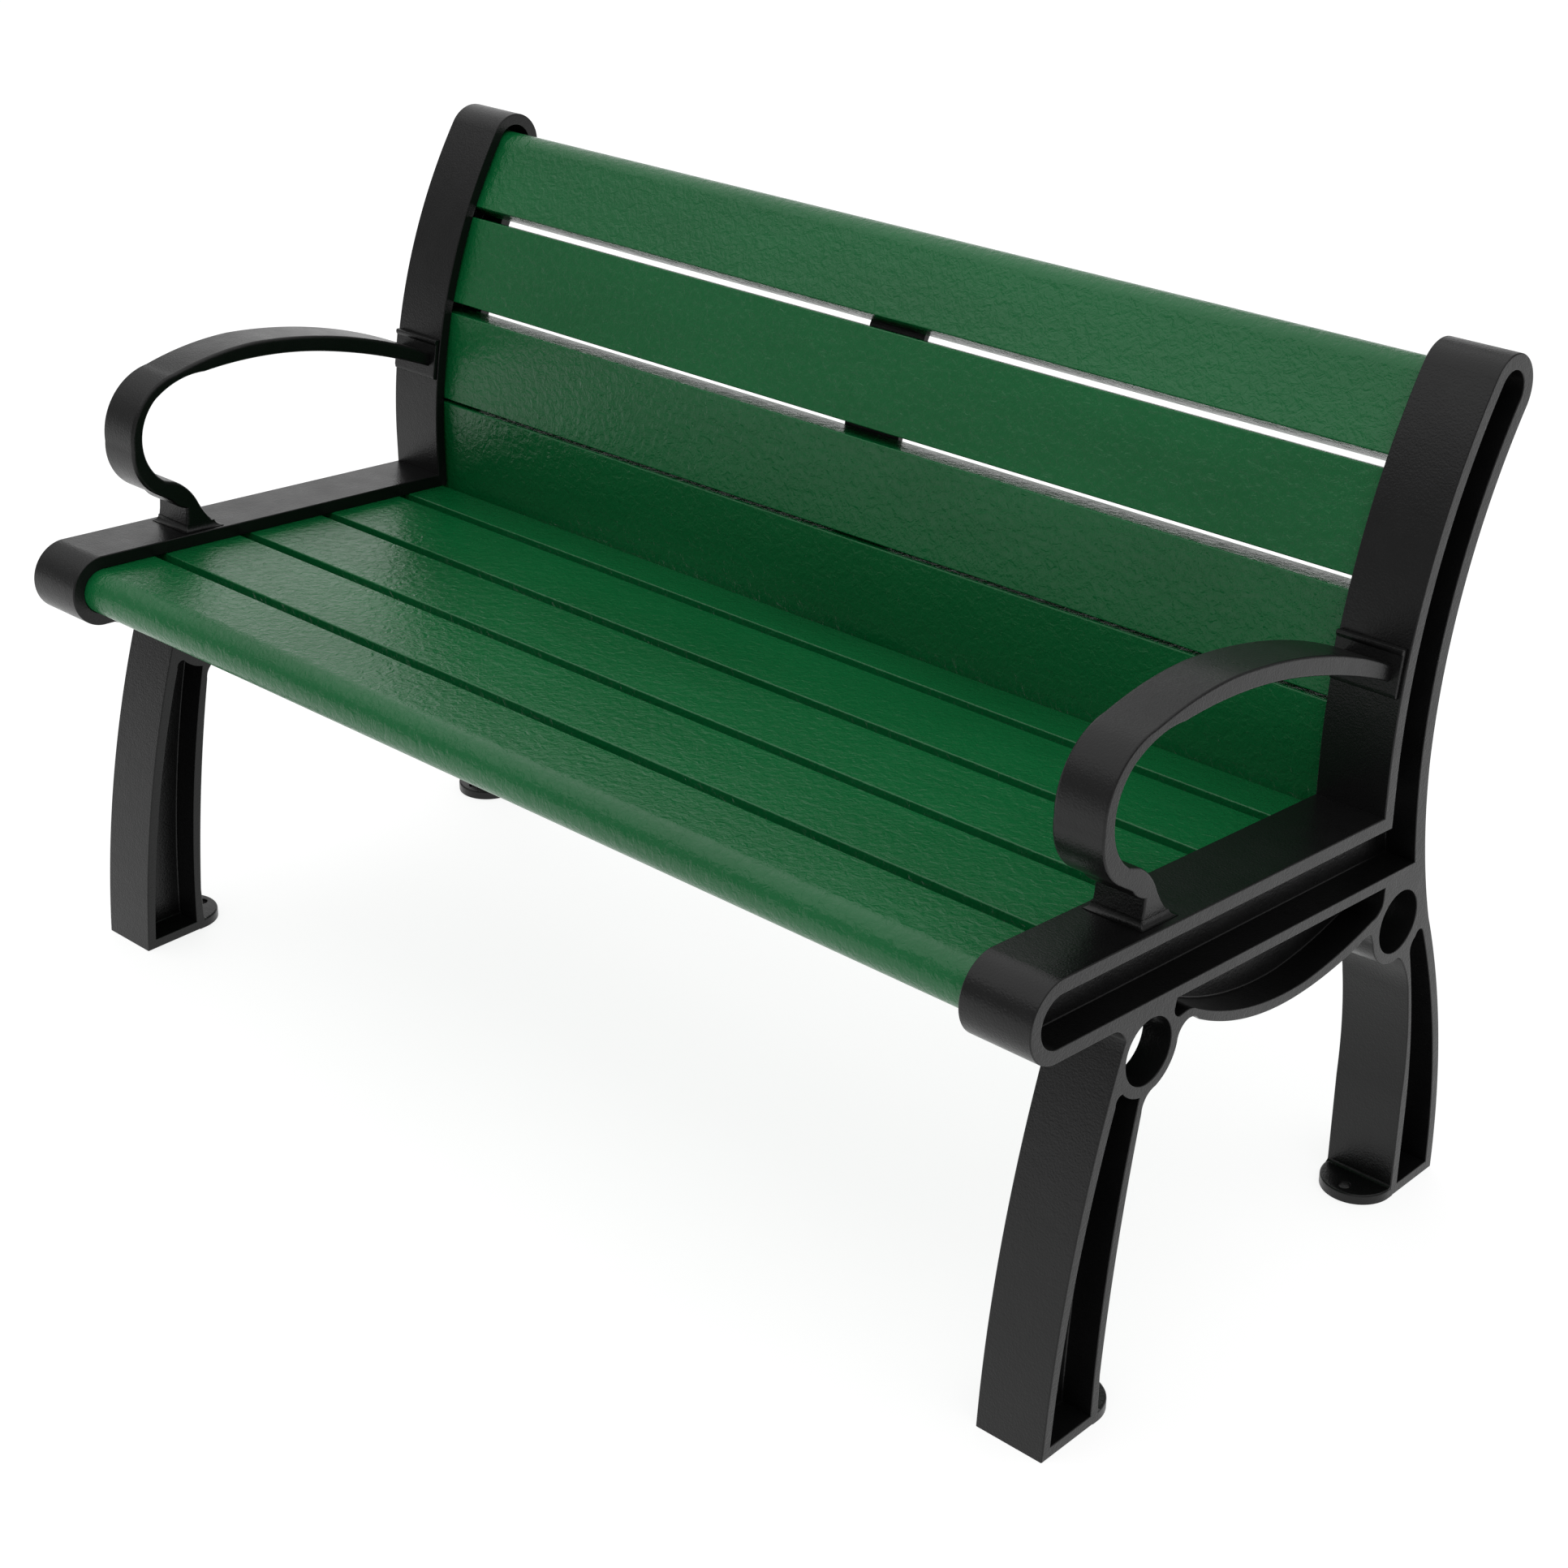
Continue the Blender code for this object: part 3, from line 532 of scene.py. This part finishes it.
# ---------------------------------------------------------------- armrests
ARM_X = 0.576
ARM_HALF_WIDTH = 23.5
ARM_BASE_HEIGHT = 1.3  # where the band starts above the rail, inside the flare
ARM_PLATE_Z = 525.0  # height of the middle of the plate on the post
ARM_PLATE_HALF_WIDTH = 31.0
ARM_PLATE_TILT = math.asin((ARM_PLATE_Z - POST[1]) / POST_FRONT)
FLARE_RIM = 0.4
FLARE_HEIGHT = 6.0


def armrest_outline():
    """The looped band of an armrest with its flared foot, without its rear pad and its foot plate."""
    base = RAIL_TOP + ARM_BASE_HEIGHT
    return join_runs(
        arc_through((420, 530.5), (320, 571), (200, 593.5), 12),
        arc_through((200, 593.5), (150, 592), (104, 584), 5),
        arc_through((104, 584), (61, 560), (48.5, 520), 8),
        arc_through((48.5, 520), (53, 491), (69, 472), 6),
        arc_through((87, 460), (94, 452.5), (103.5, 447.5), 3),
        [(102.5, 437.5), (101, 430.5), (100, rail_line(base, 100))],
        arc_through((137.5, rail_line(base, 137.5)), (127, 435), (117, 452.5), 5),
        arc_through((117, 452.5), (108, 466), (94, 477.5), 5),
        arc_through((82, 482), (61.5, 521), (80, 563), 12),
        arc_through((80, 563), (106, 575), (139, 577.5), 6),
        arc_through((139, 577.5), (215, 576), (290, 562.5), 8),
        arc_through((290, 562.5), (345, 546), (418, 516.5), 7),
    )


def post_plate(bm):
    """Mounting plate on the post's front, with a raised bead along its top edge."""
    tilt = ARM_PLATE_TILT
    base = Vector(polar(POST, POST_FRONT + FIT, 180 - math.degrees(tilt)))
    outward = Vector((-math.cos(tilt), math.sin(tilt)))
    up = Vector((math.sin(tilt), math.cos(tilt)))

    def at(along, out):
        return tuple(base + up * along + outward * out)

    profile = [at(-21, 0), at(21, 0), at(21, 4.2), at(20.2, 5.7), at(18.4, 6.0), at(16.6, 5.5),
               at(15.2, 4.2), at(-16, 4.2), at(-19.5, 3.2)]
    prism(bm, profile, ARM_PLATE_HALF_WIDTH, (1.0, 1.0), 3)


def foot_flare(bm):
    """Concave flare of the armrest's foot on the rail, wider than the band on all four sides."""
    rings = []
    for step in range(9):
        t = math.pi / 2 * step / 8
        spread_by, lift = 1 - math.sin(t), 1 - math.cos(t)
        half_x = 23.7 + 4.0 * spread_by
        y0, y1 = 100.3 - 4.8 * spread_by, 134.0 + 7.4 * spread_by
        outline = []
        for cx, cy, turn in ((half_x, y1, 0), (-half_x, y1, 90), (-half_x, y0, 180), (half_x, y0, 270)):
            centre = (cx - math.copysign(1.5, cx), cy - (1.5 if cy == y1 else -1.5))
            outline += [polar(centre, 1.5, turn + 30 * i) for i in range(4)]
        heights = [rail_line(RAIL_TOP + FIT, y) + FLARE_RIM + FLARE_HEIGHT * lift for _, y in outline]
        rings.append([bm.verts.new((x * MM, y * MM, z * MM)) for (x, y), z in zip(outline, heights)])
    underside = [bm.verts.new((v.co.x, v.co.y, v.co.z - FLARE_RIM * MM)) for v in rings[0]]
    rings = [underside] + rings
    loft(bm, rings)
    bm.faces.new(rings[0])
    bm.faces.new(rings[-1])


def armrest(side, x):
    bm = bmesh.new()
    radii = (2.0, 3.5) if x < 0 else (3.5, 2.0)  # the edge towards the seat is rounder
    prism(bm, armrest_outline(), ARM_HALF_WIDTH, radii, 6)
    post_plate(bm)
    foot_flare(bm)
    obj = mesh_object(f"armrest_{side}_casting", bm, BLACK)
    obj.location.x = x
    install(obj, f"armrest_{side}")


# ---------------------------------------------------------------- slats
SEAT_PITCH = 101.2
SEAT_STARTS = [68.3 + SEAT_PITCH * i for i in range(4)]  # front edges of the slats behind the first
SEAT_WIDTH = 88.6
SEAT_EDGES = [(-25.1, 55.8)] + [(start, start + SEAT_WIDTH) for start in SEAT_STARTS[:3]]
SEAT_EDGES += [(SEAT_STARTS[3], 418.4)]
SEAT_THICKNESS = 43.4
SEAT_DROP = 13.0  # from the rail's top down to the slats
BACK_THICKNESS = 36.0
BACK_INSET = 10.9  # from the post's front to the slats
BACK_GAP_ANGLES = (-5.5, 5.42, 15.7, 26.22)  # gap centres, degrees round POST, from the bottom
BACK_GAPS = (0.0, 4.0, 11.4, 11.2)
BACK_TRIMS = ((0, 2.0), (2.0, 0), (0, 0), (0, 0))  # how much narrower the rear face is at each end
TOP_SLAT_WIDTH = 86.5
BOARD_EDGE = 1.3  # rounding of the boards' edges


def board_section(corner, tilt, width, thickness, nose, trims=(0, 0)):
    """Cross-section with rounded edges and, at the end named by nose, a half-round nose."""
    corner = Vector(corner)
    along = Vector((math.cos(tilt), math.sin(tilt)))
    inward = Vector((math.sin(tilt), -math.cos(tilt)))
    outline = []
    for u, d, start in ((0, 0, 270), (0, thickness, 180), (width, thickness, 90), (width, 0, 0)):
        end = "start" if u == 0 else "end"
        r, n = (thickness / 2, 16) if end == nose else (BOARD_EDGE, 4)
        first, last = (0, 0) if d == 0 else trims
        centre = (first + r if u == 0 else width - last - r, r if d == 0 else thickness - r)
        outline += [polar(centre, r, start - 90 * i / n) for i in range(n + 1)]
    return join_runs([tuple(corner + along * u + inward * d) for u, d in outline])


def slat(node, section):
    low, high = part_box(node)
    half = (high.x - low.x) / 2 / MM
    bm = bmesh.new()
    prism(bm, section, half, (1.5, 1.5), 3)
    install(mesh_object(f"{node}_board", bm, GREEN), node)


def slats():
    """Make all the slats, and return which way the screws in each of them point, as (y, z)."""
    tilt = -math.atan(SLOPE)
    screw_ways = {}
    for number, (front, rear) in enumerate(SEAT_EDGES, 1):
        corner = (front, rail_line(RAIL_TOP - SEAT_DROP, front))
        width = (rear - front) / math.cos(tilt)
        section = board_section(corner, tilt, width, SEAT_THICKNESS, "start" if number == 1 else None)
        slat(f"seat_slat_{number}", section)
        screw_ways[f"seat_screw_{number}"] = (-math.sin(tilt), math.cos(tilt))
    radius = POST_FRONT - BACK_INSET
    for number, angle in enumerate(BACK_GAP_ANGLES):
        start = angle + math.degrees(BACK_GAPS[number] / 2 / radius)
        if number < 3:
            end = BACK_GAP_ANGLES[number + 1] - math.degrees(BACK_GAPS[number + 1] / 2 / radius)
        else:
            end = start + 2 * math.degrees(math.asin(TOP_SLAT_WIDTH / 2 / radius))
        low, high = Vector(polar(POST, radius, 180 - start)), Vector(polar(POST, radius, 180 - end))
        lean = math.atan2(high.y - low.y, high.x - low.x)
        nose = "end" if number == 3 else None
        section = board_section(low, lean, (high - low).length, BACK_THICKNESS, nose, BACK_TRIMS[number])
        slat(f"back_slat_{number + 1}", section)
        screw_ways[f"back_screw_{number + 1}"] = (-math.sin(lean), math.cos(lean))
    return screw_ways


# ---------------------------------------------------------------- screws
HEAD_RADIUS = 7.5
HEAD_FLAT = HEAD_RADIUS * math.cos(math.radians(30))
HEAD_TOP = 5.8  # from the face that the screw goes into


def hexagon(radius, turn):
    """Radius of a hexagon with its corners at this radius, in the direction turn degrees."""
    return radius * math.cos(math.radians(30)) / math.cos(math.radians((turn % 60) - 30))


def hex_screw(node, way):
    """Hex-head screw with a chamfered head and a washer, on the axis of the CAD screw that it replaces."""
    low, high = (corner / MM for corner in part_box(node))
    along = Vector((0, *way)).normalized()
    if along.y > 0:
        y = low.y + HEAD_TOP * along.y + HEAD_FLAT * along.z
    else:
        y = high.y + HEAD_TOP * along.y - HEAD_FLAT * abs(along.z)
    seat = Vector(((low.x + high.x) / 2, y, low.z + HEAD_TOP * along.z + HEAD_FLAT * abs(along.y)))
    if abs(along.z) > abs(along.y):
        length = (high.z - seat.z) / along.z
    else:
        length = (seat.y - low.y) / abs(along.y)
    across = Vector((1, 0, 0))
    up = along.cross(across)
    round_at = lambda radius: (lambda turn: radius)
    hex_at = lambda radius: (lambda turn: hexagon(radius, turn))
    stations = [(-HEAD_TOP + 0.25, round_at(5.0)), (-HEAD_TOP, round_at(5.3)), (-HEAD_TOP, round_at(6.0)),
                (-HEAD_TOP + 0.7, hex_at(HEAD_RADIUS)), (-1.6, hex_at(HEAD_RADIUS)), (-1.6, round_at(8.1)),
                (-1.4, round_at(8.4)), (-0.5, round_at(8.4)), (-0.3, round_at(8.2)), (-0.3, round_at(4.0)),
                (length - 3, round_at(4.0)), (length, round_at(2.0))]
    bm = bmesh.new()
    rings = []
    for distance, radius_at in stations:
        ring_verts = []
        for step in range(24):
            u, v = polar((0, 0), radius_at(15 * step), 15 * step)
            ring_verts.append(bm.verts.new((seat + along * distance + across * u + up * v) * MM))
        rings.append(ring_verts)
    loft(bm, rings)
    bm.faces.new(rings[0])
    bm.faces.new(rings[-1])
    piece = mesh_object(f"{node}_hex", bm, ZINC, 30.0)
    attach(piece, "root")
    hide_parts(node)


# ---------------------------------------------------------------- assembly
for side, sign in (("left", -1), ("right", 1)):
    end_frame(side, sign * FRAME_X)
    armrest(side, sign * ARM_X)
screw_ways = slats()
screw_ways["arm_bolt_front"] = (SLOPE, 1)
screw_ways["arm_bolt_rear"] = (-math.cos(ARM_PLATE_TILT), math.sin(ARM_PLATE_TILT))
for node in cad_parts:
    for kind, way in screw_ways.items():
        if node.startswith(kind):
            hex_screw(node, way)
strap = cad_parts["centre_strap"]
strap.data.materials.clear()
strap.data.materials.append(BLACK)

# ---------------------------------------------------------------- floor, light and camera
floor_mesh = bpy.data.meshes.new("floor")
reach = 40
floor_corners = [(-reach, -reach, 0), (reach, -reach, 0), (reach, reach, 0), (-reach, reach, 0)]
floor_mesh.from_pydata(floor_corners, [], [(0, 1, 2, 3)])
floor = bpy.data.objects.new("floor", floor_mesh)
bpy.context.scene.collection.objects.link(floor)
floor_material, nodes, links, shader = node_material("pale_floor")
shader.inputs["Base Color"].default_value = (0.32, 0.32, 0.32, 1)
shader.inputs["Roughness"].default_value = 0.9
shader.inputs["Specular IOR Level"].default_value = 0.1
shader.inputs["Emission Color"].default_value = (1, 1, 1, 1)
shader.inputs["Emission Strength"].default_value = 0.82
floor_mesh.materials.append(floor_material)


def area_light(name, location, target, size, power):
    data = bpy.data.lights.new(name, "AREA")
    data.shape = "RECTANGLE"
    data.size, data.size_y = size
    data.energy = power
    light = bpy.data.objects.new(name, data)
    light.location = location
    direction = Vector(target) - Vector(location)
    light.rotation_euler = direction.to_track_quat("-Z", "Y").to_euler()
    bpy.context.scene.collection.objects.link(light)


area_light("key_softbox", (-0.3, -0.7, 3.6), target=(-0.3, -0.7, 0), size=(8.4, 6.6), power=150)
area_light("rear_softbox", (-3.4, 3.6, 1.9), target=(0, 0, 0.5), size=(4.4, 3.0), power=27)
world = bpy.data.worlds.new("studio")
bpy.context.scene.world = world
world.use_nodes = True
world.node_tree.nodes["Background"].inputs["Color"].default_value = (1, 1, 1, 1)
world.node_tree.nodes["Background"].inputs["Strength"].default_value = 0.38
bpy.context.scene.view_settings.view_transform = "Standard"

AZIMUTH, ELEVATION, ROLL = (math.radians(degrees) for degrees in (43.076, 26.317, 0.135))
level = math.cos(ELEVATION)
towards_camera = Vector((math.sin(AZIMUTH) * level, -math.cos(AZIMUTH) * level, math.sin(ELEVATION)))
camera_data = bpy.data.cameras.new("camera")
camera_data.lens = 65.42
camera_data.sensor_width = 36.0
camera = bpy.data.objects.new("camera", camera_data)
camera.rotation_mode = "QUATERNION"
camera.location = (1.645, -1.3982 - SHIFT * MM, 1.436)
aim = (-towards_camera).to_track_quat("-Z", "Y")
camera.rotation_quaternion = aim @ Quaternion((0, 0, 1), ROLL)
bpy.context.scene.collection.objects.link(camera)
bpy.context.scene.camera = camera
